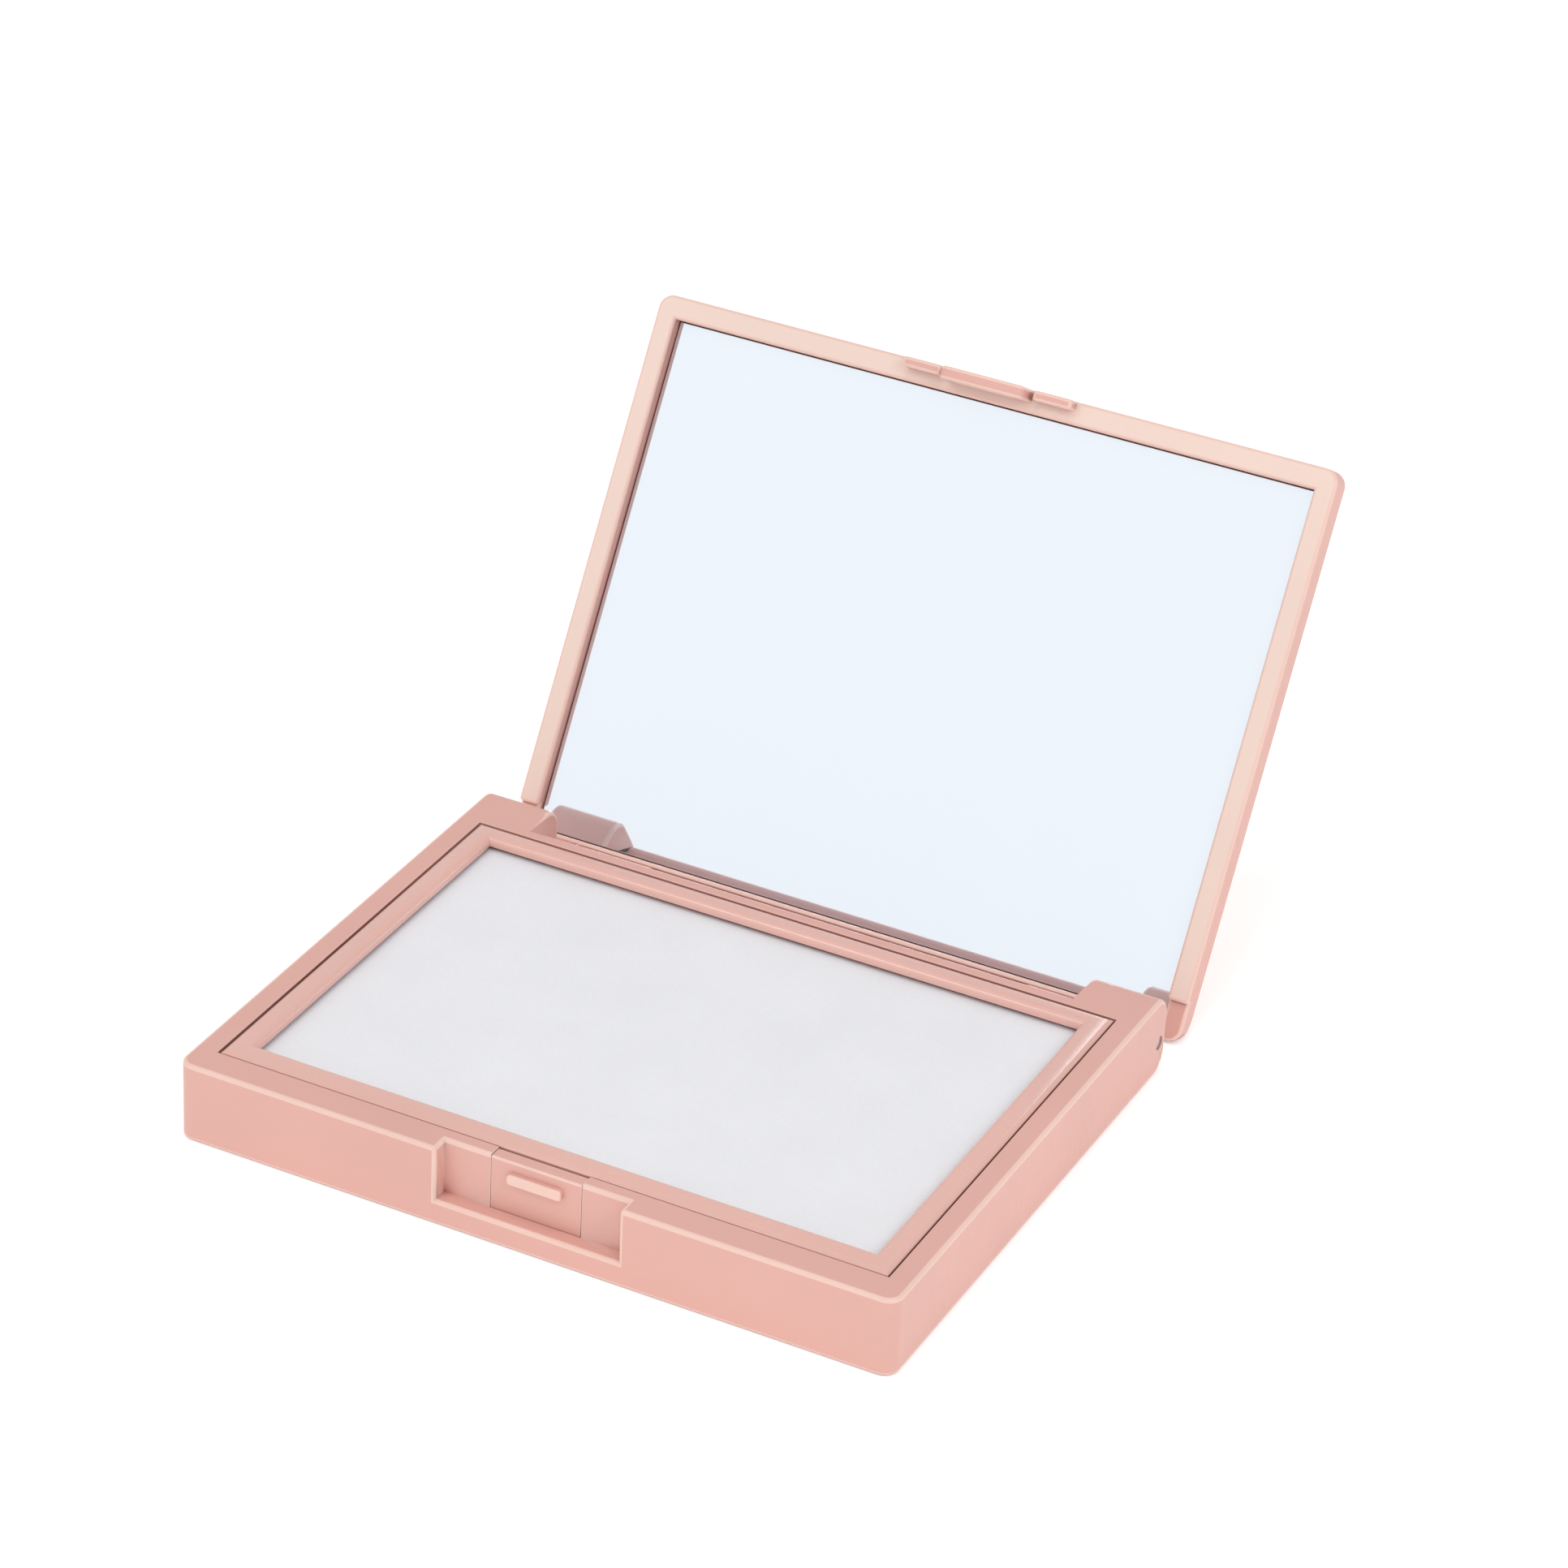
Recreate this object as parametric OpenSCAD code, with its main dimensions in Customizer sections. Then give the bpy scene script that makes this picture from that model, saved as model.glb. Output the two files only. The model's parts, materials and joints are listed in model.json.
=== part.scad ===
// Compact wet palette: a flat base with a damp sponge and a palette sheet under a
// retaining frame, and a hinged lid with a mirror. It is modelled with the lid open.
// Millimetres, +X to the right, +Y to the back, +Z up. The origin is the centre of
// the base's underside. Lid parts are drawn closed and then swung open about the pin.

/* [Case] */
// Width of the case, left to right
case_w = 100; // [98:0.5:102]
// Depth of the case, front face to back face
case_d = 79.2; // [78.6:0.2:80]
// Height of the base up to its flat top
base_h = 11.2; // [11.2:0.1:11.6]
// Radius of the upright corners at the front
corner_r = 2; // [1.6:0.2:3]
// Thickness of the base's floor
floor_t = 1.2; // [1:0.1:1.2]

/* [Retaining frame] */
// Width of the ledge between the side face and the frame's pocket
side_ledge = 3.15; // [3.1:0.05:3.3]
// Width of the ledge in front of the frame's pocket
front_ledge = 4.4; // [4.3:0.05:4.5]
// Distance from the back face to the frame's pocket
back_ledge = 9.4; // [9.3:0.1:9.6]
// Radius of the back ledge's edge towards the hinge notch
ledge_r = 1.4; // [1:0.1:1.6]
// Gap round the frame in its pocket
frame_gap = 0.3; // [0.25:0.05:0.3]
// Width of each bar of the frame
frame_bar_w = 3.3; // [3:0.1:3.6]
// Radius of the rounded bead along the opening
bead_r = 1.2; // [1:0.1:1.2]
// Height of the bead's crest above the table
bead_top = 11.7; // [11.6:0.1:11.9]
// How far the bead overhangs the sheet without touching it
bead_overhang = 0.8; // [0.6:0.1:0.9]
// Thickness of the frame's hidden skirt
skirt_t = 1.2; // [1:0.1:1.3]

/* [Palette filling] */
// Wall and floor thickness of the water tray
tray_t = 0.9; // [0.8:0.1:1]
// Height of the water tray's rim above the table
tray_top = 9; // [8.8:0.1:9]
// Thickness of the silicone ring on the tray's rim
seal_t = 0.6; // [0.4:0.1:0.6]
// Height of the sponge's top above the table
sponge_top = 9.55; // [9.3:0.05:9.6]
// Height of the palette sheet's underside above the table
paper_z = 9.65; // [9.62:0.01:9.66]
// Thickness of the palette sheet
paper_t = 0.2; // [0.1:0.05:0.2]

/* [Lid] */
// Thickness of the lid
lid_t = 4.15; // [4:0.05:4.2]
// Angle by which the lid stands open from closed
open_deg = 121; // [90:0.5:121]
// Radius of the lid's heel, its upper back edge when closed
heel_r = 4; // [3.9:0.05:4]
// Width of the rim at the mirror's sides
rim_side = 2.9; // [2.8:0.1:3]
// Width of the rim at the mirror's front edge
rim_front = 3.1; // [3:0.1:3.2]
// Width of the rim at the mirror's hinge edge
rim_back = 2.4; // [2.4:0.1:3]
// Thickness of the glass mirror
mirror_t = 1.3; // [1.1:0.1:1.3]
// Thickness of the lid's outer skin behind the mirror
skin_t = 0.8; // [0.7:0.1:0.9]

/* [Hinge] */
// Radius of the steel hinge pins
pin_r = 1; // [0.9:0.05:1]
// Length of one hinge pin
pin_len = 16; // [14:0.5:16]
// Height of the pins' axis above the table
pin_z = 4.4; // [4.4:0.1:4.6]
// Distance from the back face to the pins' axis
pin_inset = 1.8; // [1.8:0.1:2]
// Width of one hinge block of the base
block_w = 10; // [9:0.5:11]
// Radius of the lid's hinge barrels
barrel_r = 1.8; // [1.8:0.1:2]
// Radius of the blocks' two back edges
block_r = 3; // [3:0.1:3.2]

/* [Latch] */
// Width of the finger recess in the front face
recess_w = 25.6; // [24:0.2:27]
// Depth of the finger recess
recess_d = 2.4; // [2.2:0.1:2.5]
// Height of the finger recess's floor above the table
recess_z = 3.5; // [3.4:0.1:3.8]
// Width of the springy latch tongue
tongue_w = 12.6; // [11:0.2:13]
// Thickness of the latch tongue
tongue_t = 1.1; // [1:0.1:1.2]
// Width of the nub on the tongue
nub_w = 7.6; // [6:0.2:8]
// How far the nub stands out from the tongue
nub_d = 0.8; // [0.75:0.05:0.85]

/* [Hidden] */
$fn = 64;
slop = 1;

half_w = case_w / 2;
front_y = -case_d / 2;
back_y = case_d / 2;
pink = [0.92, 0.73, 0.69];

// Pocket in the base, and the frame in it
pocket_x = half_w - side_ledge;
pocket_y = [front_y + front_ledge, back_y - back_ledge];
frame_x = pocket_x - frame_gap;
frame_y = [pocket_y[0] + frame_gap, pocket_y[1] - frame_gap];
frame_foot = floor_t + 0.1;
frame_under = 9.9;
bead_foot = 10.4;
outer_top = 11.05;
crest_x = frame_bar_w - bead_r;
crown_rise = bead_top - outer_top;
crown_r = (crest_x * crest_x + crown_rise * crown_rise) / (2 * crown_rise);

// Pieces inside the frame's skirt, each a little smaller than the last
fit_gap = 0.15;
tray_x = frame_x - skirt_t - fit_gap;
tray_y = [frame_y[0] + skirt_t + fit_gap, frame_y[1] - skirt_t - fit_gap];
tray_z = floor_t + 0.1;
tray_r = 2;
sponge_x = tray_x - tray_t - fit_gap;
sponge_y = [tray_y[0] + tray_t + fit_gap, tray_y[1] - tray_t - fit_gap];
sponge_z = tray_z + tray_t + 0.1;
paper_side = 0.35;

// Hinge
pin_y = back_y - pin_inset;
pin_end = half_w - 0.25;
block_x = half_w - block_w;
notch_y = back_y - 7;
hinge_x = block_x - 0.2;
barrel_x = 28;
bore_r = pin_r + 0.05;
bore_end = pin_end - pin_len - 0.8;

// Lid, drawn closed
lid_z = base_h + 0.05;
lid_top = lid_z + lid_t;
lid_back = pin_y + 0.05;
glass_z = lid_top - skin_t - 0.2 - mirror_t;
relief_y = notch_y - 0.2;
relief_h = 0.8;
glass_gap = 0.1;
glass_x = half_w - rim_side;
glass_y = [front_y + rim_front, lid_back - rim_back];
back_wall_t = 1.4;
back_wall_z = pin_z - 1.6;

// Latch
recess_back = front_y + recess_d;
tongue_z = 2.4;
tongue_gap = 0.06;
tongue_top = 11.05;
cap_t = 0.85;
cap_d = 1.95;
nub_z = [8.1, 9.6];
root_gap = 0.06;
tab_w = 12.2;
tab_t = 1.8;
tab_z = 7;
groove_d = 0.5;
groove_gap = 0.15;
lip_x = [6.8, 12.4];
lip_t = 1.4;
lip_z = 9.2;

// Box that is centred left to right, from y[0] to y[1] and z[0] to z[1]
module mid_box(half, y, z) {
    translate([-half, y[0], z[0]]) cube([2 * half, y[1] - y[0], z[1] - z[0]]);
}

// Flat outline centred left to right, with corners rounded by r in front and by far_r behind
module round_rect(half, y, r, far_r) {
    middle = (y[0] + y[1]) / 2;
    translate([-half, y[0] + r]) square([2 * half, y[1] - y[0] - r - far_r]);
    translate([r - half, y[0]]) square([2 * (half - r), middle - y[0]]);
    translate([far_r - half, middle]) square([2 * (half - far_r), y[1] - middle]);
    for (side = [-1, 1]) {
        translate([side * (half - r), y[0] + r]) circle(r);
        translate([side * (half - far_r), y[1] - far_r]) circle(far_r);
    }
}

// Plate with round upright corners
module round_plate(half, y, z, r, far_r) {
    translate([0, 0, z[0]]) linear_extrude(z[1] - z[0]) round_rect(half, y, r, far_r);
}

// Side outline, y and z, with its upper back corner rounded by r and its lower one by low_r
module side_outline(y, z, r, low_r = 0) {
    translate([y[0], z[0]]) square([y[1] - y[0] - r, z[1] - z[0]]);
    translate([y[0], z[0] + low_r]) square([y[1] - y[0], z[1] - z[0] - r - low_r]);
    translate([y[1] - r, z[1] - r]) circle(r);
    if (low_r > 0) translate([y[1] - low_r, z[0] + low_r]) circle(low_r);
}

// Extrudes a side outline along X, from x[0] to x[1]
module along_x(x) {
    translate([x[0], 0, 0]) rotate([90, 0, 90]) linear_extrude(x[1] - x[0]) children();
}

// Extrudes a front outline along Y, from y[0] to y[1]
module along_y(y) {
    translate([0, y[1], 0]) rotate([90, 0, 0]) linear_extrude(y[1] - y[0]) children();
}

// The same shape on the right and on the left
module both_sides() {
    children();
    mirror([1, 0, 0]) children();
}

// Round bar on the hinge axis, from x[0] to x[1]
module on_pin_axis(x, r) {
    translate([x[0], pin_y, pin_z]) rotate([0, 90, 0]) cylinder(h = x[1] - x[0], r = r);
}

// Swings a part of the lid from closed to open about the pins
module swung_open() {
    translate([0, pin_y, pin_z]) rotate([-open_deg, 0, 0]) translate([0, -pin_y, -pin_z]) children();
}

// What the rounding takes off the back ledge's edge
module notch_edge() {
    along_x([-block_x, block_x]) translate([notch_y - ledge_r, base_h - ledge_r]) difference() {
        square(ledge_r + slop);
        circle(ledge_r);
    }
}

// Base: outer block, frame pocket, hinge notch, finger recess, tongue slots and pin bores
module base_shell() {
    color(pink) difference() {
        intersection() {
            round_plate(half_w, [front_y, back_y + 2 * corner_r], [0, base_h], corner_r, corner_r);
            along_x([-half_w, half_w]) side_outline([front_y, back_y], [0, base_h], block_r, block_r);
        }
        mid_box(pocket_x, pocket_y, [floor_t, base_h + slop]);
        mid_box(block_x, [notch_y, back_y + slop], [floor_t, base_h + slop]);
        notch_edge();
        mid_box(recess_w / 2, [front_y - slop, recess_back], [recess_z, base_h + slop]);
        mid_box(tongue_w / 2 + tongue_gap, [recess_back - 0.01, pocket_y[0] + 0.01], [recess_z, base_h + slop]);
        mid_box(tongue_w / 2 + tongue_gap,
                [recess_back - root_gap, recess_back + tongue_t + root_gap],
                [tongue_z - tongue_gap, recess_z + 0.01]);
        both_sides() on_pin_axis([block_x - slop, half_w + slop], pin_r);
    }
}

// Shallow tray that holds the water under the sponge
module water_tray() {
    color("white") difference() {
        round_plate(tray_x, tray_y, [tray_z, tray_top], tray_r, tray_r);
        round_plate(tray_x - tray_t, [tray_y[0] + tray_t, tray_y[1] - tray_t],
                    [tray_z + tray_t, tray_top + slop], tray_r - tray_t, tray_r - tray_t);
    }
}

// Silicone ring on the tray's rim
module tray_seal() {
    color([0.85, 0.85, 0.82]) difference() {
        round_plate(tray_x, tray_y, [tray_top, tray_top + seal_t], tray_r, tray_r);
        round_plate(tray_x - tray_t, [tray_y[0] + tray_t, tray_y[1] - tray_t],
                    [tray_top - slop, tray_top + seal_t + slop], tray_r - tray_t, tray_r - tray_t);
    }
}

// Damp sponge that fills the tray
module sponge() {
    color([0.95, 0.93, 0.8]) round_plate(sponge_x, sponge_y, [sponge_z, sponge_top], 1, 1);
}

// Palette sheet that lies on the sponge, with its edges under the frame
module palette_paper() {
    color([0.91, 0.9, 0.92])
        round_plate(tray_x - paper_side, [tray_y[0] + paper_side, tray_y[1] - paper_side],
                    [paper_z, paper_z + paper_t], 1.5, 1.5);
}

// Cross-section of a frame bar: distance inwards from the outer edge, and height.
// A shallow crown rises to the crest, and a tighter bead falls from it to the opening.
module frame_outline() {
    translate([0, frame_foot]) square([skirt_t, outer_top - frame_foot]);
    translate([crest_x, frame_under])
        square([bead_r - bead_overhang, bead_top - bead_r - frame_under]);
    intersection() {
        translate([crest_x, bead_top - crown_r]) circle(crown_r);
        translate([0, frame_under]) square([crest_x, bead_top - frame_under]);
    }
    intersection() {
        translate([crest_x, bead_top - bead_r]) circle(bead_r);
        translate([crest_x, bead_foot]) square([bead_r, bead_top - bead_foot]);
    }
}

// One bar along +X with its outer edge on y = 0 and mitred ends
module frame_bar(len) {
    intersection() {
        along_x([0, len]) frame_outline();
        linear_extrude(bead_top + slop)
            polygon([[0, 0], [len, 0], [len - frame_bar_w, frame_bar_w], [frame_bar_w, frame_bar_w]]);
    }
}

// Mitred frame that drops into the pocket and holds the sheet down
module retaining_frame() {
    w = 2 * frame_x;
    d = frame_y[1] - frame_y[0];
    color(pink) union() {
        translate([-frame_x, frame_y[0], 0]) frame_bar(w);
        translate([frame_x, frame_y[1], 0]) rotate(180) frame_bar(w);
        translate([-frame_x, frame_y[1], 0]) rotate(-90) frame_bar(d);
        translate([frame_x, frame_y[0], 0]) rotate(90) frame_bar(d);
    }
}

// Springy tongue with the nub that snaps into the lid's tab
module latch_tongue() {
    nub_y = [recess_back - nub_d, recess_back + 0.1];
    color(pink) {
        mid_box(tongue_w / 2, [recess_back, recess_back + tongue_t], [tongue_z, tongue_top]);
        mid_box(tongue_w / 2, [recess_back, recess_back + cap_d], [tongue_top - cap_t, tongue_top]);
        along_y(nub_y) round_rect(nub_w / 2, nub_z, 0.5, 0.5);
    }
}

// Steel pin through the right block into the lid's barrel
module hinge_pin_right() {
    color("silver") on_pin_axis([pin_end - pin_len, pin_end], pin_r);
}

// Steel pin through the left block into the lid's barrel
module hinge_pin_left() {
    color("silver") mirror([1, 0, 0]) on_pin_axis([pin_end - pin_len, pin_end], pin_r);
}

// Plate of the lid with its rounded heel
module lid_plate() {
    intersection() {
        round_plate(half_w, [front_y, lid_back], [lid_z, lid_top], corner_r, corner_r);
        along_x([-half_w, half_w]) side_outline([front_y, lid_back], [lid_z, lid_top], heel_r);
    }
}

// Barrels, their necks and the wall between them that fills the hinge notch
module lid_hinge() {
    both_sides() {
        on_pin_axis([barrel_x, hinge_x], barrel_r);
        translate([barrel_x, pin_y - barrel_r, pin_z])
            cube([hinge_x - barrel_x, barrel_r + lid_back - pin_y, lid_z - pin_z + 0.1]);
    }
    mid_box(hinge_x, [lid_back - back_wall_t, lid_back], [back_wall_z, lid_z + 0.1]);
}

// Tab that catches the tongue, and the short lips beside it
module lid_latch() {
    along_y([front_y, front_y + tab_t]) round_rect(tab_w / 2, [tab_z, lid_z + 1.5], 1, 1);
    both_sides() translate([lip_x[0], front_y, lip_z]) cube([lip_x[1] - lip_x[0], lip_t, lid_z - lip_z + 0.1]);
}

// Lid shell with the mirror's recess, the reliefs over the blocks, the bores and the catch groove
module lid_shell() {
    inner_y = front_y + tab_t;
    color(pink) swung_open() difference() {
        union() {
            lid_plate();
            lid_hinge();
            lid_latch();
        }
        mid_box(glass_x, glass_y, [lid_z - 0.01, lid_top - skin_t]);
        both_sides() {
            translate([block_x, relief_y, lid_z - slop]) cube([block_w + slop, case_d, relief_h + slop]);
            on_pin_axis([bore_end, hinge_x + slop], bore_r);
        }
        mid_box(nub_w / 2 + groove_gap + 0.15, [inner_y - groove_d, inner_y + slop],
                [nub_z[0] - groove_gap, nub_z[1] + groove_gap]);
    }
}

// Glass mirror in the lid's recess
module mirror_glass() {
    mid_box(glass_x - glass_gap, [glass_y[0] + glass_gap, glass_y[1] - glass_gap],
            [glass_z, glass_z + mirror_t]);
}

module mirror_plate() {
    color([0.85, 0.92, 0.97]) swung_open() mirror_glass();
}

// Strips of double-sided tape between the mirror and the lid's skin
module mirror_tape() {
    strip_w = 12;
    color([0.9, 0.9, 0.85]) swung_open() {
        for (x = [-36, 0, 36]) {
            translate([x - strip_w / 2, glass_y[0] + 4, glass_z + mirror_t])
                cube([strip_w, glass_y[1] - glass_y[0] - 8, 0.2]);
        }
    }
}

base_shell();
water_tray();
tray_seal();
sponge();
palette_paper();
retaining_frame();
latch_tongue();
hinge_pin_left();
hinge_pin_right();
lid_shell();
mirror_plate();  // mirror
mirror_tape();
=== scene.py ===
"""Compact wet palette, shown open: moulded pink case, damp sponge, palette sheet and mirror lid."""
import json
import math

import bmesh
import bpy
from mathutils import Matrix, Vector, noise

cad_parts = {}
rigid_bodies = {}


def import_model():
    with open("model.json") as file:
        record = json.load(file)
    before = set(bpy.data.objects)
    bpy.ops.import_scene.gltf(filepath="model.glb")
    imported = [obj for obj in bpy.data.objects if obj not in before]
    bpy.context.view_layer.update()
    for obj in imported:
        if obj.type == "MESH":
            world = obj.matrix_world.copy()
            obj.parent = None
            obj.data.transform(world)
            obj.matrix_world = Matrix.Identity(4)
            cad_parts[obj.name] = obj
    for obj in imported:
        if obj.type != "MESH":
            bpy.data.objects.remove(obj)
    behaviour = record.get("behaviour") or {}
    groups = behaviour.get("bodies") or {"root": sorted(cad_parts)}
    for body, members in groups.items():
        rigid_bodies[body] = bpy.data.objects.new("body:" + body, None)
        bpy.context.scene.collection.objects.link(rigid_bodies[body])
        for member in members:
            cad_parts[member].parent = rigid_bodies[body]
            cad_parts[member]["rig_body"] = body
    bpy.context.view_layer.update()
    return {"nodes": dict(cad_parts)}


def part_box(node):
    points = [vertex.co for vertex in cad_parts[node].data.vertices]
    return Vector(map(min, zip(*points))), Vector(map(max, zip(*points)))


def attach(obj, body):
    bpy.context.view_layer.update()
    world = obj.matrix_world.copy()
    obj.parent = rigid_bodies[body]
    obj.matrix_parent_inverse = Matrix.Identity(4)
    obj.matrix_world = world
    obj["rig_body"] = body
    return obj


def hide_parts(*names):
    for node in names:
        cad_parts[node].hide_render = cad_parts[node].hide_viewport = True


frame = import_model()

MM = 0.001

# Camera: where it looks, from how far, and how it is turned
CAMERA_AZIMUTH = 25.87
CAMERA_ELEVATION = 30.48
CAMERA_ROLL = 2.89
CAMERA_DISTANCE = 704.8 * MM
CAMERA_AIM = Vector((3.9, 18.1, 38.9)) * MM
CAMERA_LENS = 128.2

# Colours, linear
PINK_BASE = (0.735, 0.410, 0.352)
PINK_FRAME = (0.770, 0.450, 0.385)
# Lighter pink for the lid's rim faces: a painted sheen
PINK_PAINTED_RIM_SHEEN = (0.835, 0.645, 0.565)
# Lighter pink for rounded outer edges: a painted highlight
PINK_EDGE_HIGHLIGHT = (0.835, 0.575, 0.495)
# Painted shade laid into the gaps and creases of the pink plastic
PINK_PAINTED_SHADE = (0.330, 0.090, 0.070)
PAPER_WHITE = (0.85, 0.83, 0.86)
SPONGE_CREAM = (0.72, 0.68, 0.50)
MIRROR_TINT = (0.83, 0.89, 0.955)
GLASS_EDGE = (0.30, 0.40, 0.40)
TRAY_WHITE = (0.80, 0.80, 0.81)
SEAL_WHITE = (0.62, 0.62, 0.60)
TAPE_WHITE = (0.70, 0.70, 0.68)
STEEL_GREY = (0.50, 0.50, 0.52)
FLOOR_WHITE = (0.92, 0.92, 0.92)

# Most of a noise's values lie between these
NOISE_LOW, NOISE_HIGH = 0.3, 0.7

# CAD vertices closer than WELD become one, and faces that differ less than FLAT_ANGLE are joined
WELD = 0.0005 * MM
FLAT_ANGLE = math.radians(0.6)

# Outer edges sharper than SHARP_ANGLE are rounded, finely where parts meet in a narrow gap. One
# with less room at its ends than LEAST_ROOM of its radius stays crisp
SHARP_ANGLE = math.radians(32)
FINE_ROUNDING = 0.06 * MM
LEAST_ROOM = 0.5
GLASS_ROUNDING = 0.12 * MM

# Faces count as the lid's rim, or as the mirror's front and back, above these areas
RIM_AREA = 200 * MM**2
PLATE_AREA = 1000 * MM**2

# Cross-section of the retaining frame's bars
BAR_WIDTH = 3.3 * MM
BAR_OUTER_TOP = 11.05 * MM
BAR_EDGE_ROUNDING = 0.25 * MM
BAR_UNDERSIDE = 9.9 * MM
BEAD_RADIUS = 1.2 * MM
BEAD_OVERHANG = 0.8 * MM
BEAD_FOOT = 10.4 * MM
SKIRT_WIDTH = 1.2 * MM
MITRE_ANGLE = math.radians(30)

# Studio: strength of the surroundings, and each soft light's azimuth, elevation, size and power
WORLD_STRENGTH = 0.72
LIGHT_DISTANCE = 1.2
SOFT_LIGHTS = {
    "key_light": (60, 40, 0.45, 2.3),
    "top_light": (0, 84, 0.35, 1.5),
    "front_light": (-34, 50, 0.2, 1.1),
}
MIRROR_CARD_SIZE = 0.8
MIRROR_CARD_RADIANCE = 0.31
FLOOR_HALF_WIDTH = 4
FLOOR_DROP = 0.02 * MM


# --- Materials ---------------------------------------------------------------------------------

class Shader:
    """A material's node tree, with short calls to add and join nodes."""

    def __init__(self, name):
        self.material = bpy.data.materials.new(name)
        self.material.use_nodes = True
        self.tree = self.material.node_tree
        self.surface = self.tree.nodes["Principled BSDF"]
        self.place = self.add("ShaderNodeTexCoord").outputs["Object"]

    def add(self, kind, **settings):
        """Adds a node of a kind and changes its settings."""
        node = self.tree.nodes.new(kind)
        for name, value in settings.items():
            setattr(node, name, value)
        return node

    def join(self, source, target):
        """Joins an output to an input."""
        self.tree.links.new(source, target)

    def set(self, **values):
        """Sets sockets of the surface; an underscore in a name stands for a space."""
        for name, value in values.items():
            self.surface.inputs[name.replace("_", " ")].default_value = value

    def noise(self, size, detail=3.0, stretch=(1, 1, 1)):
        """Noise whose blotches are about size metres across."""
        mapping = self.add("ShaderNodeMapping")
        mapping.inputs["Scale"].default_value = stretch
        self.join(self.place, mapping.inputs["Vector"])
        texture = self.add("ShaderNodeTexNoise")
        texture.inputs["Scale"].default_value = 1 / size
        texture.inputs["Detail"].default_value = detail
        self.join(mapping.outputs["Vector"], texture.inputs["Vector"])
        return texture.outputs["Fac"]

    def cells(self, size):
        """Distance to the nearest of scattered points, about size metres apart."""
        texture = self.add("ShaderNodeTexVoronoi", feature="F1")
        texture.inputs["Scale"].default_value = 1 / size
        self.join(self.place, texture.inputs["Vector"])
        return texture.outputs["Distance"]

    def ramp(self, factor, *stops):
        """Colours or greys along a factor, each stop (position, colour or grey)."""
        node = self.add("ShaderNodeValToRGB")
        while len(node.color_ramp.elements) < len(stops):
            node.color_ramp.elements.new(0.5)
        for element, (position, value) in zip(node.color_ramp.elements, stops):
            element.position = position
            colour = value if hasattr(value, "__len__") else (value,) * 3
            element.color = (*colour, 1)
        self.join(factor, node.inputs["Fac"])
        return node.outputs["Color"]

    def varied(self, factor, colour, darker, lighter):
        """A colour that a noise takes from a darker to a lighter shade of itself."""
        return self.ramp(
            factor, (NOISE_LOW, shade(colour, darker)), (NOISE_HIGH, shade(colour, lighter))
        )

    def spread(self, factor, low, high):
        """A noise spread from low to high."""
        node = self.add("ShaderNodeMapRange")
        node.inputs["From Min"].default_value = NOISE_LOW
        node.inputs["From Max"].default_value = NOISE_HIGH
        node.inputs["To Min"].default_value = low
        node.inputs["To Max"].default_value = high
        self.join(factor, node.inputs["Value"])
        return node.outputs["Result"]

    def mixed(self, factor, first, second, blend="MIX"):
        """Two colours mixed; the factor and the colours may be sockets or fixed values."""
        node = self.add("ShaderNodeMix", data_type="RGBA", blend_type=blend)
        factor_socket, first_socket, second_socket = node.inputs[0], node.inputs[6], node.inputs[7]
        pairs = ((factor_socket, factor), (first_socket, first), (second_socket, second))
        for socket, value in pairs:
            if isinstance(value, bpy.types.NodeSocket):
                self.join(value, socket)
            elif hasattr(value, "__len__"):
                socket.default_value = (*value, 1)
            else:
                socket.default_value = value
        return node.outputs[2]

    def bump(self, height, depth, strength=1.0, under=None):
        """Normals of a relief depth metres deep, which may lie on the relief under it."""
        node = self.add("ShaderNodeBump")
        node.inputs["Strength"].default_value = strength
        node.inputs["Distance"].default_value = depth
        self.join(height, node.inputs["Height"])
        if under is not None:
            self.join(under, node.inputs["Normal"])
        return node.outputs["Normal"]

    def openness(self, reach, shut, clear):
        """0 where a surface is as shut in as shut within reach, 1 where it is as open as clear."""
        node = self.add("ShaderNodeAmbientOcclusion", samples=8)
        node.inputs["Distance"].default_value = reach
        return self.ramp(node.outputs["AO"], (shut, 0.0), (clear, 1.0))

    def use(self, **sockets):
        """Joins outputs to sockets of the surface, named as in set."""
        for name, source in sockets.items():
            self.join(source, self.surface.inputs[name.replace("_", " ")])


def shade(colour, amount):
    """A colour made darker or lighter, at most white."""
    return tuple(min(1, c * amount) for c in colour)


def moulded_plastic(name, colour, rough=0.42, shut=0.10, clear=0.45, coat=0.0):
    """Satin moulded plastic: fine spark-eroded grain, faint flow marks, and painted shade that
    darkens its gaps and creases.

    The painted shade is darkest at an openness of shut and gone at clear.
    """
    s = Shader(name)
    flow = s.noise(28 * MM, detail=2, stretch=(1, 1.6, 1))
    body = s.varied(flow, colour, 0.972, 1.02)
    # Painted shade: gaps and creases take a darker pink where the surface is shut in
    shaded_in_gaps = s.mixed(s.openness(2.2 * MM, shut, clear), PINK_PAINTED_SHADE, body)
    grain = s.noise(0.16 * MM, detail=2)
    waves = s.noise(9 * MM, detail=1)
    scuffs = s.noise(2.2 * MM, detail=6, stretch=(1, 5, 1))
    normal = s.bump(waves, 0.02 * MM, 0.35)
    s.use(
        Base_Color=shaded_in_gaps,
        Roughness=s.spread(scuffs, rough - 0.05, rough + 0.07),
        Normal=s.bump(grain, 0.006 * MM, 0.5, under=normal),
    )
    s.set(
        IOR=1.49,
        Subsurface_Weight=0.12,
        Subsurface_Scale=1.2 * MM,
        Subsurface_Radius=(1.0, 0.45, 0.35),
        Coat_Weight=coat,
        Coat_Roughness=0.3,
    )
    return s.material


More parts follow.
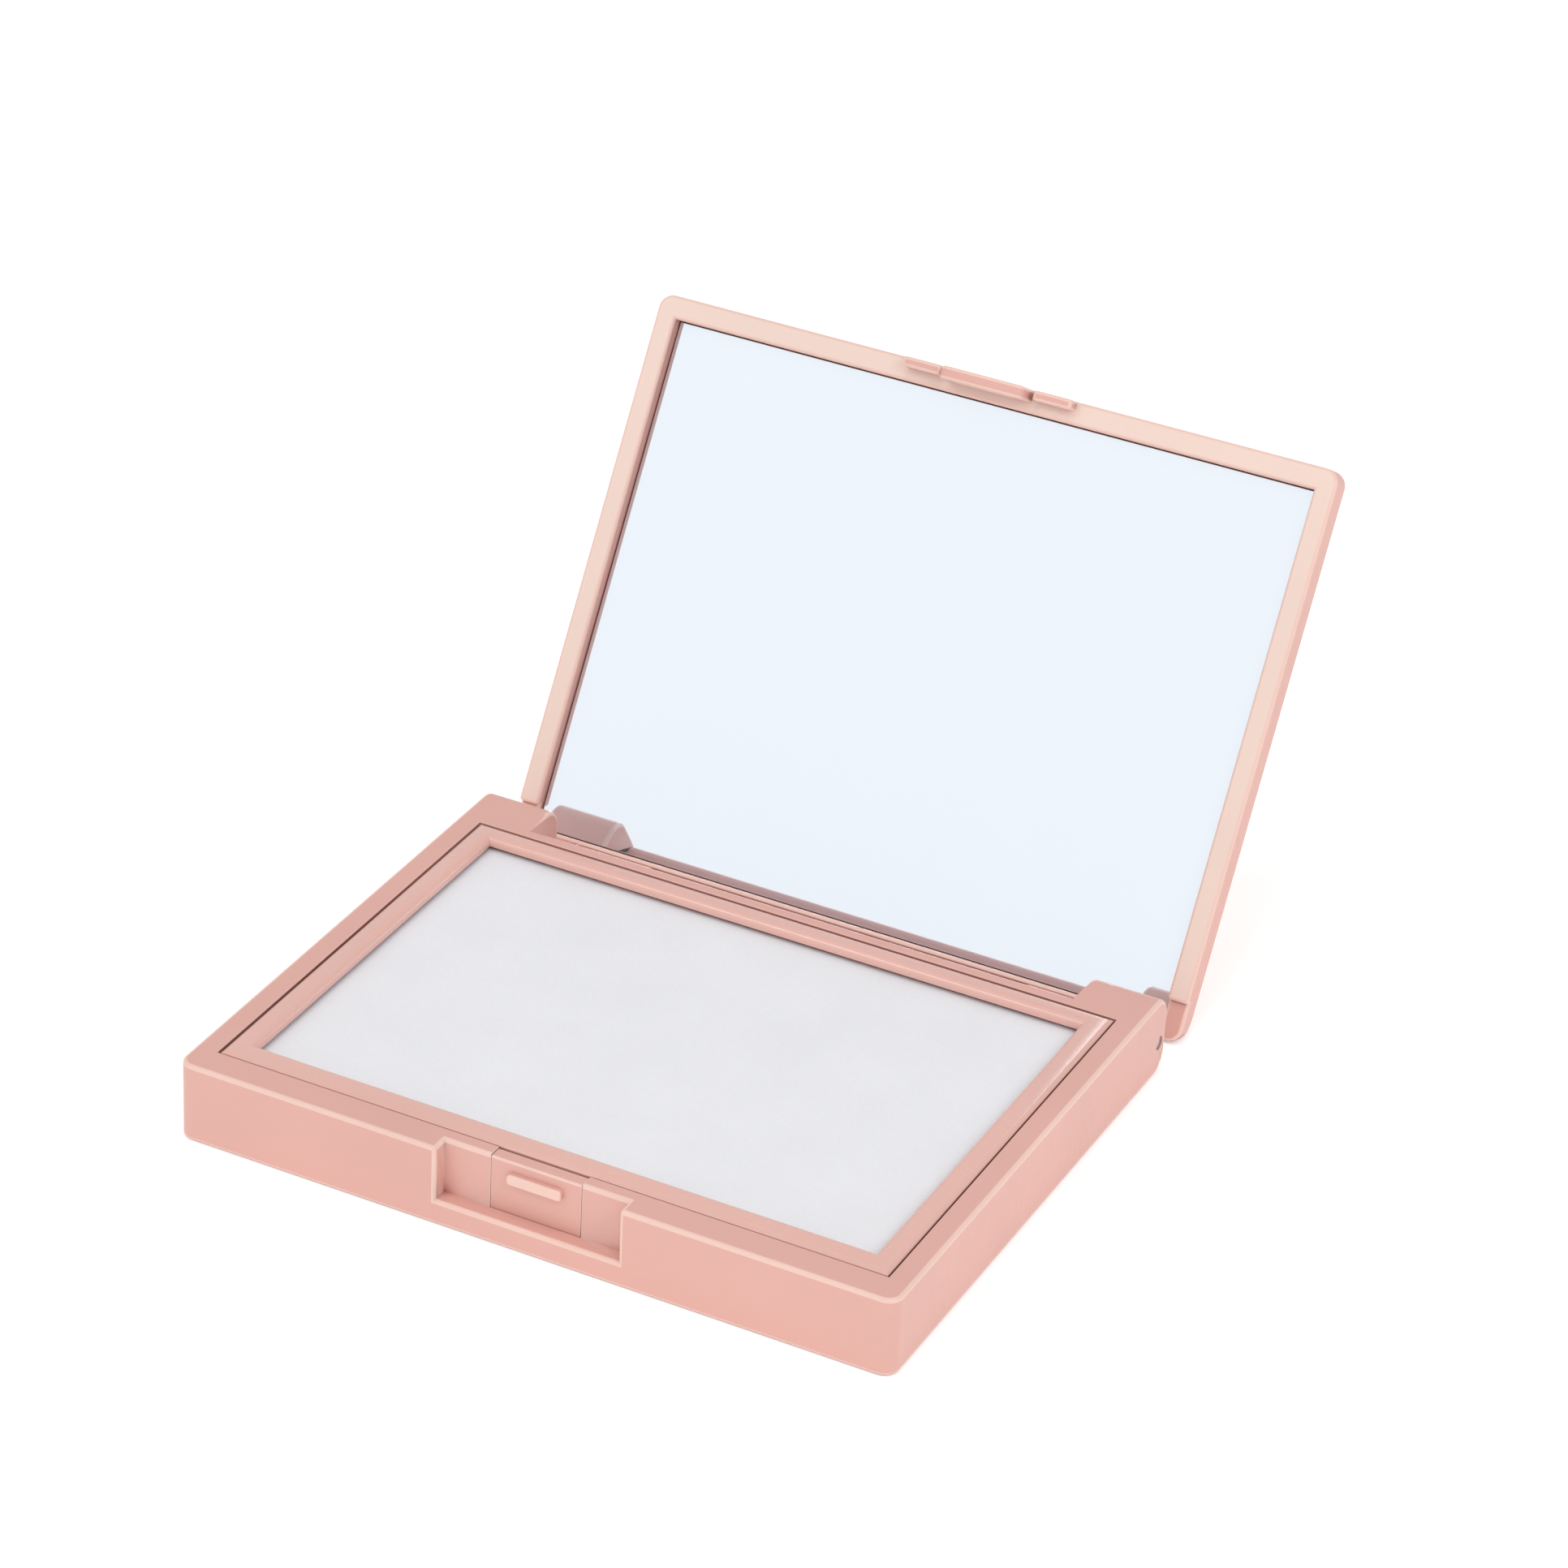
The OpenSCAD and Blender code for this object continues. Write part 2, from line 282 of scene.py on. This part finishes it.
def palette_sheet(name):
    """Damp parchment: faint fibres and soft cockling."""
    s = Shader(name)
    clouds = s.noise(11 * MM, detail=3)
    fibres = s.noise(0.35 * MM, detail=5, stretch=(1, 0.25, 1))
    tone = s.varied(clouds, PAPER_WHITE, 0.985, 1.01)
    fibre_tone = s.ramp(fibres, (0.35, 0.985), (0.6, 1.0))
    s.use(
        Base_Color=s.mixed(1.0, tone, fibre_tone, "MULTIPLY"),
        Roughness=s.spread(clouds, 0.52, 0.66),
        Normal=s.bump(fibres, 0.006 * MM, 0.4),
    )
    s.set(IOR=1.45, Subsurface_Weight=0.1, Subsurface_Scale=0.5 * MM)
    return s.material


def open_cell_sponge(name):
    """Cream cellulose sponge with open pores, their pits darkened with painted shade."""
    s = Shader(name)
    pores = s.cells(0.9 * MM)
    fine = s.noise(0.4 * MM, detail=4)
    # Painted shade: the pits of the pores are darker
    tone = s.ramp(pores, (0.1, shade(SPONGE_CREAM, 0.55)), (0.45, SPONGE_CREAM))
    s.use(
        Base_Color=tone,
        Roughness=s.spread(fine, 0.6, 0.9),
        Normal=s.bump(pores, 0.35 * MM, 0.9),
    )
    s.set(Subsurface_Weight=0.2, Subsurface_Scale=1.5 * MM)
    return s.material


def silvered_glass(name):
    """Flat mirror with a faint blue cast and the slightest haze of fingerprints."""
    s = Shader(name)
    haze = s.noise(14 * MM, detail=4)
    smears = s.noise(3 * MM, detail=5, stretch=(1, 3, 1))
    s.use(
        Base_Color=s.varied(haze, MIRROR_TINT, 0.995, 1),
        Roughness=s.spread(smears, 0.012, 0.03),
    )
    s.set(Metallic=0.87)
    return s.material


def ground_glass_edge(name):
    """Greenish ground rim of a glass plate."""
    s = Shader(name)
    chips = s.noise(0.3 * MM, detail=4)
    s.use(
        Base_Color=s.varied(chips, GLASS_EDGE, 0.8, 1.25),
        Roughness=s.spread(chips, 0.2, 0.45),
        Normal=s.bump(chips, 0.02 * MM, 0.5),
    )
    s.set(IOR=1.52)
    return s.material


def drawn_steel(name):
    """Steel pin with fine lines along its length."""
    s = Shader(name)
    lines = s.noise(0.25 * MM, detail=4, stretch=(0.05, 1, 1))
    s.use(
        Base_Color=s.varied(lines, STEEL_GREY, 0.8, 1.15),
        Roughness=s.spread(lines, 0.22, 0.42),
        Normal=s.bump(lines, 0.008 * MM, 0.6),
    )
    s.set(Metallic=1.0)
    return s.material


def soft_polymer(name, colour, rough, glow):
    """Smooth translucent polymer for the tray, the seal and the tape."""
    s = Shader(name)
    clouds = s.noise(6 * MM, detail=3)
    specks = s.noise(0.3 * MM, detail=3)
    s.use(
        Base_Color=s.varied(clouds, colour, 0.96, 1.03),
        Roughness=s.spread(specks, rough - 0.06, rough + 0.08),
        Normal=s.bump(specks, 0.01 * MM, 0.4),
    )
    s.set(IOR=1.42, Subsurface_Weight=glow, Subsurface_Scale=1.0 * MM)
    return s.material


def studio_floor(name):
    """Pale paper floor that stays almost white under the soft light."""
    s = Shader(name)
    clouds = s.noise(0.12, detail=3)
    s.use(
        Base_Color=s.varied(clouds, FLOOR_WHITE, 0.995, 1),
        Roughness=s.spread(clouds, 0.85, 0.95),
    )
    s.set(Emission_Color=(1, 1, 1, 1), Emission_Strength=0.32, Specular_IOR_Level=0.1)
    return s.material


# --- Pieces ------------------------------------------------------------------------------------

def new_piece(name, mesh, body, slot, *materials):
    """Makes an object of a bmesh, gives it its materials and lets it ride on a body."""
    data = bpy.data.meshes.new(name)
    mesh.to_mesh(data)
    mesh.free()
    piece = bpy.data.objects.new(name, data)
    bpy.context.scene.collection.objects.link(piece)
    for material in materials:
        data.materials.append(material)
    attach(piece, body)
    return piece


def node_mesh(node):
    """Mesh of a CAD node with its flat faces in one piece each."""
    mesh = bmesh.new()
    mesh.from_mesh(frame["nodes"][node].data)
    bmesh.ops.remove_doubles(mesh, verts=mesh.verts, dist=WELD)
    bmesh.ops.dissolve_limit(
        mesh, angle_limit=FLAT_ANGLE, verts=mesh.verts, edges=mesh.edges
    )
    for face in mesh.faces:
        face.smooth = True
    return mesh


def inside(point, zone):
    """Whether a point is in a box, given by its two corners."""
    low, high = zone
    return all(a <= c <= b for a, c, b in zip(low, point, high))


def zone_round(node, gap):
    """Box of a node, grown by gap on all sides."""
    low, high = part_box(node)
    margin = Vector((gap, gap, gap))
    return low - margin, high + margin


def is_sharp(edge):
    """Whether an edge bends by SHARP_ANGLE or more."""
    return edge.calc_face_angle(0) >= SHARP_ANGLE


def room_at_ends(edge):
    """Length of the shortest inner or smooth edge that a rounding of this edge would run along."""
    beside = {other for vert in edge.verts for other in vert.link_edges if other is not edge}
    return min(
        (other.calc_length() for other in beside if not (other.is_convex and is_sharp(other))),
        default=edge.calc_length(),
    )


def weigh_edges(mesh, radius, fine_zones):
    """Full rounding for sharp outer edges, a fine one in the fine zones.

    Inner edges stay crisp, and so do outer edges whose rounding has too little room at its ends.
    """
    weights = mesh.edges.layers.float.new("bevel_weight_edge")
    for edge in filter(is_sharp, mesh.edges):
        middle = (edge.verts[0].co + edge.verts[1].co) / 2
        fine = any(inside(middle, zone) for zone in fine_zones)
        cramped = not fine and room_at_ends(edge) < LEAST_ROOM * radius
        if cramped or not edge.is_convex:
            edge.smooth = False
        else:
            edge[weights] = FINE_ROUNDING / radius if fine else 1


def soften(piece, radius, segments=3, edge_material=-1):
    """Rounds the weighed edges of a piece and evens its shading."""
    bevel = piece.modifiers.new("rounded_edges", "BEVEL")
    bevel.limit_method = "WEIGHT"
    bevel.width = radius
    bevel.segments = segments
    bevel.use_clamp_overlap = False
    bevel.miter_outer = "MITER_ARC"
    bevel.material = edge_material
    normals = piece.modifiers.new("even_normals", "WEIGHTED_NORMAL")
    normals.keep_sharp = True


def moulded_piece(node, slot, materials, radius, segments=3, fine_zones=(), paint=None):
    """The CAD node's shape with rounded edges, standing for that node.

    The second material, if any, paints a highlight on the rounded edges; paint says which one a
    face has.
    """
    mesh = node_mesh(node)
    weigh_edges(mesh, radius, fine_zones)
    if paint:
        for face in mesh.faces:
            face.material_index = paint(face)
    body = frame["nodes"][node]["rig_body"]
    piece = new_piece(node + "_moulded", mesh, body, slot, *materials)
    soften(piece, radius, segments, 1 if len(materials) > 1 else -1)
    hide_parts(node)


def arc(centre, radius, start, end, steps):
    """Points on an arc, angles in degrees, both ends included."""
    angles = [math.radians(start + (end - start) * i / steps) for i in range(steps + 1)]
    return [(centre[0] + radius * math.cos(a), centre[1] + radius * math.sin(a)) for a in angles]


def bar_outline(foot, top):
    """Cross-section of a frame bar: distance inwards from its outer edge, and height."""
    crest = BAR_WIDTH - BEAD_RADIUS
    rise = top - BAR_OUTER_TOP
    crown = (crest**2 + rise**2) / (2 * rise)
    crown_centre = (crest, top - crown)
    small = BAR_EDGE_ROUNDING
    small_rise = math.sqrt((crown - small) ** 2 - (crest - small) ** 2)
    small_centre = (small, crown_centre[1] + small_rise)
    turn = math.degrees(math.atan2(small_rise, small - crest))
    return [
        (0, foot),
        *arc(small_centre, small, 180, turn, 5),
        *arc(crown_centre, crown, turn, 90, 10)[1:],
        *arc((crest, top - BEAD_RADIUS), BEAD_RADIUS, 90, 0, 14)[1:],
        (BAR_WIDTH, BEAD_FOOT),
        (BAR_WIDTH - BEAD_OVERHANG, BEAD_FOOT),
        (BAR_WIDTH - BEAD_OVERHANG, BAR_UNDERSIDE),
        (SKIRT_WIDTH, BAR_UNDERSIDE),
        (SKIRT_WIDTH, foot),
    ]


def frame_piece(node, material):
    """Mitred frame: one cross-section swept round the pocket, with crisp mitres."""
    low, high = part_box(node)
    outline = bar_outline(low.z, high.z)
    mesh = bmesh.new()
    rings = []
    for x_side, y_side in ((-1, -1), (1, -1), (1, 1), (-1, 1)):
        corner = Vector((high.x if x_side > 0 else low.x, high.y if y_side > 0 else low.y))
        rings.append([
            mesh.verts.new((corner.x - x_side * inwards, corner.y - y_side * inwards, height))
            for inwards, height in outline
        ])
    for here, there in zip(rings, rings[1:] + rings[:1]):
        for i in range(len(outline)):
            j = (i + 1) % len(outline)
            mesh.faces.new((here[i], there[i], there[j], here[j])).smooth = True
    bmesh.ops.recalc_face_normals(mesh, faces=mesh.faces)
    body = frame["nodes"][node]["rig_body"]
    piece = new_piece(node + "_moulded", mesh, body, "frame_plastic", material)
    piece.data.set_sharp_from_angle(angle=MITRE_ANGLE)
    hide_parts(node)


def mirror_normal():
    """Direction in which the mirror's face looks when the lid is open."""
    plate = frame["nodes"]["mirror"].data
    face = max(plate.polygons, key=lambda f: f.area)
    return face.normal if face.normal.y < 0 else -face.normal


def mirror_piece(node, front, edge):
    """Glass plate whose big faces are silvered and whose rim is ground glass."""
    mesh = node_mesh(node)
    for face in mesh.faces:
        face.material_index = 0 if face.calc_area() > PLATE_AREA else 1
    weigh_edges(mesh, GLASS_ROUNDING, ())
    piece = new_piece("mirror_plate", mesh, "lid", "mirror_glass", front, edge)
    soften(piece, GLASS_ROUNDING, 2)
    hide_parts(node)


def sheet_piece(node, material):
    """Palette sheet: a fine grid with round corners and a faint cockle."""
    low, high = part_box(node)
    corner = 1.5 * MM
    border = 6 * MM
    cockle_size = 17 * MM
    cockle_height = 0.035 * MM
    lift = 0.06 * MM
    across, along = 90, 62
    width, length = high.x - low.x, high.y - low.y
    middle = (low + high) / 2
    mesh = bmesh.new()
    bmesh.ops.create_grid(mesh, x_segments=across, y_segments=along, size=0.5)
    for vert in mesh.verts:
        x, y = vert.co.x * width, vert.co.y * length
        over_x = abs(x) - (width / 2 - corner)
        over_y = abs(y) - (length / 2 - corner)
        if over_x > 0 and over_y > 0:
            reach = math.hypot(over_x, over_y)
            scale = max(over_x, over_y) / reach
            x = math.copysign(width / 2 - corner + over_x * scale, x)
            y = math.copysign(length / 2 - corner + over_y * scale, y)
        fade = min(1, (width / 2 - abs(x)) / border, (length / 2 - abs(y)) / border)
        cockle = noise.noise(Vector((x, y, 0)) / cockle_size) * cockle_height * max(0, fade)
        vert.co = Vector((middle.x + x, middle.y + y, low.z + lift + cockle))
    for face in mesh.faces:
        face.smooth = True
    piece = new_piece("palette_sheet", mesh, "base", "paper", material)
    thick = piece.modifiers.new("thickness", "SOLIDIFY")
    thick.thickness = 0.1 * MM
    thick.offset = 1
    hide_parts(node)


def sponge_piece(node, material):
    """Sponge pad: round-edged block with a pitted skin, kept inside its CAD solid."""
    low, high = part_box(node)
    middle, size = (low + high) / 2, high - low
    rounding = 0.9 * MM
    cell = 2.2 * MM
    pit_size = 2.6 * MM
    pit_depth = 0.12 * MM
    mesh = bmesh.new()
    bmesh.ops.create_cube(mesh, size=1)
    for vert in mesh.verts:
        vert.co = Vector(a * b for a, b in zip(vert.co, size))
    bmesh.ops.bevel(
        mesh, geom=mesh.edges[:], offset=rounding, segments=3, profile=0.5, affect="EDGES"
    )
    for axis, direction in enumerate(Matrix.Identity(3)):
        steps = int(size[axis] / cell)
        for i in range(1, steps):
            bmesh.ops.bisect_plane(
                mesh,
                geom=mesh.verts[:] + mesh.edges[:] + mesh.faces[:],
                plane_co=direction * (-size[axis] / 2 + i * size[axis] / steps),
                plane_no=direction,
            )
    mesh.normal_update()
    for vert in mesh.verts:
        pit = 0.5 + 0.5 * noise.noise(vert.co / pit_size)
        vert.co -= vert.normal * pit * pit_depth
    bmesh.ops.translate(mesh, verts=mesh.verts, vec=middle)
    for face in mesh.faces:
        face.smooth = True
    piece = new_piece("sponge_pad", mesh, "base", "sponge", material)
    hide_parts(node)


def build_pieces():
    """Every visible piece, each in the place of its CAD node."""
    pink_base = moulded_plastic("pink_case_plastic", PINK_BASE)
    pink_frame = moulded_plastic("pink_frame_plastic", PINK_FRAME, 0.22, coat=0.7)
    # The case pink with its painted shade reaching further, darkening the lid's heel front and the
    # walls of the mirror recess
    lid_deeper_shade = moulded_plastic("lid_case_deeper_painted_shade", PINK_BASE, shut=0.25, clear=0.8)
    rim_sheen = moulded_plastic("rim_plastic_painted_sheen", PINK_PAINTED_RIM_SHEEN)
    # Rounded outer edges and the nub's front take this lighter pink as a painted highlight
    edge_highlight = moulded_plastic("pink_painted_edge_highlight", PINK_EDGE_HIGHLIGHT, 0.34)
    steel = drawn_steel("pin_steel")
    tray = soft_polymer("tray_plastic", TRAY_WHITE, 0.35, 0.1)
    silicone = soft_polymer("seal_silicone", SEAL_WHITE, 0.5, 0.3)
    foam = soft_polymer("tape_foam", TAPE_WHITE, 0.7, 0.1)

    fine = [
        zone_round("retaining_frame", 0.5 * MM),
        zone_round("latch_tongue", 0.3 * MM),
        zone_round("hinge_pin_left", 0.6 * MM),
        zone_round("hinge_pin_right", 0.6 * MM),
    ]
    moulded_piece("base_shell", "base_plastic", [pink_base, edge_highlight], 0.5 * MM, 4, fine)

    # The tongue's sides and root are rounded finely, and the front of its nub is painted with the
    # lighter edge highlight
    low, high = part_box("latch_tongue")
    margin, root = 0.3 * MM, 2 * MM
    nub_front = low.y + margin
    blade = [
        (low, Vector((low.x + margin, high.y, high.z))),
        (Vector((high.x - margin, low.y, low.z)), high),
        (low, Vector((high.x, high.y, low.z + root))),
    ]
    moulded_piece(
        "latch_tongue", "base_plastic", [pink_base, edge_highlight], 0.25 * MM, 3, blade,
        paint=lambda face: 1 if face.calc_center_median().y < nub_front else 0,
    )

    rim_normal = mirror_normal()

    def is_rim(face):
        return face.normal.dot(rim_normal) > 0.9 and face.calc_area() > RIM_AREA

    # The lid's rim faces that look the mirror's way get the lighter pink as painted sheen, and its
    # rounded edges the painted highlight
    moulded_piece(
        "lid_shell", "lid_plastic", [lid_deeper_shade, edge_highlight, rim_sheen], 0.4 * MM, 4,
        paint=lambda face: 2 if is_rim(face) else 0,
    )
    moulded_piece("water_tray", "tray_plastic", [tray], 0.2 * MM)
    moulded_piece("tray_seal", "seal_silicone", [silicone], 0.2 * MM)
    moulded_piece("mirror_tape", "tape", [foam], 0.05 * MM)
    for side in ("left", "right"):
        moulded_piece("hinge_pin_" + side, "pin_steel", [steel], 0.15 * MM)
    frame_piece("retaining_frame", pink_frame)
    mirror_piece("mirror", silvered_glass("silvered_glass"), ground_glass_edge("glass_edge"))
    sponge_piece("sponge", open_cell_sponge("open_cell_sponge"))
    sheet_piece("palette_paper", palette_sheet("palette_sheet_paper"))


# --- Studio ------------------------------------------------------------------------------------

def build_floor():
    """Wide pale floor just under the case."""
    mesh = bmesh.new()
    bmesh.ops.create_grid(mesh, x_segments=8, y_segments=8, size=FLOOR_HALF_WIDTH)
    data = bpy.data.meshes.new("studio_floor")
    mesh.to_mesh(data)
    mesh.free()
    floor = bpy.data.objects.new("studio_floor", data)
    floor.location.z = -FLOOR_DROP
    bpy.context.scene.collection.objects.link(floor)
    data.materials.append(studio_floor("studio_floor"))


def build_world(strength):
    """Even white surroundings."""
    world = bpy.data.worlds.new("studio")
    world.use_nodes = True
    background = world.node_tree.nodes["Background"]
    background.inputs["Color"].default_value = (1, 1, 1, 1)
    background.inputs["Strength"].default_value = strength
    bpy.context.scene.world = world


def softbox(name, target, direction, size, power):
    """Square soft light that looks at a target from a direction."""
    light = bpy.data.lights.new(name, "AREA")
    light.shape = "SQUARE"
    light.size = size
    light.energy = power
    holder = bpy.data.objects.new(name, light)
    holder.location = target + direction * LIGHT_DISTANCE
    holder.rotation_euler = direction.to_track_quat("Z", "Y").to_euler()
    bpy.context.scene.collection.objects.link(holder)


def direction_of(azimuth, elevation):
    """Unit vector from the object towards a viewer at that azimuth and elevation."""
    a, e = math.radians(azimuth), math.radians(elevation)
    return Vector((math.sin(a) * math.cos(e), -math.cos(a) * math.cos(e), math.sin(e)))


def build_camera():
    """Camera at the angle from which the case is shown."""
    direction = direction_of(CAMERA_AZIMUTH, CAMERA_ELEVATION)
    data = bpy.data.cameras.new("camera")
    data.sensor_width = 36
    data.lens = CAMERA_LENS
    data.clip_start = 0.01
    data.clip_end = 20
    camera = bpy.data.objects.new("camera", data)
    bpy.context.scene.collection.objects.link(camera)
    place = Matrix.Translation(CAMERA_AIM + direction * CAMERA_DISTANCE)
    look = direction.to_track_quat("Z", "Y").to_matrix()
    turn = Matrix.Rotation(math.radians(CAMERA_ROLL), 3, "Z")
    camera.matrix_world = place @ (look @ turn).to_4x4()
    bpy.context.scene.camera = camera


def mirror_card(radiance, size):
    """Softbox where the camera sees it in the mirror, so that the glass looks evenly bright."""
    low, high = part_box("mirror")
    normal = mirror_normal()
    sight = -direction_of(CAMERA_AZIMUTH, CAMERA_ELEVATION)
    bounce = sight - 2 * sight.dot(normal) * normal
    softbox("mirror_card", (low + high) / 2, bounce, size, radiance * math.pi * size**2)


def build_studio():
    """Floor, lights and camera."""
    build_floor()
    build_world(WORLD_STRENGTH)
    for name, (azimuth, elevation, size, power) in SOFT_LIGHTS.items():
        softbox(name, CAMERA_AIM, direction_of(azimuth, elevation), size, power)
    mirror_card(MIRROR_CARD_RADIANCE, MIRROR_CARD_SIZE)
    build_camera()
    bpy.context.scene.view_settings.view_transform = "Standard"


build_pieces()
build_studio()
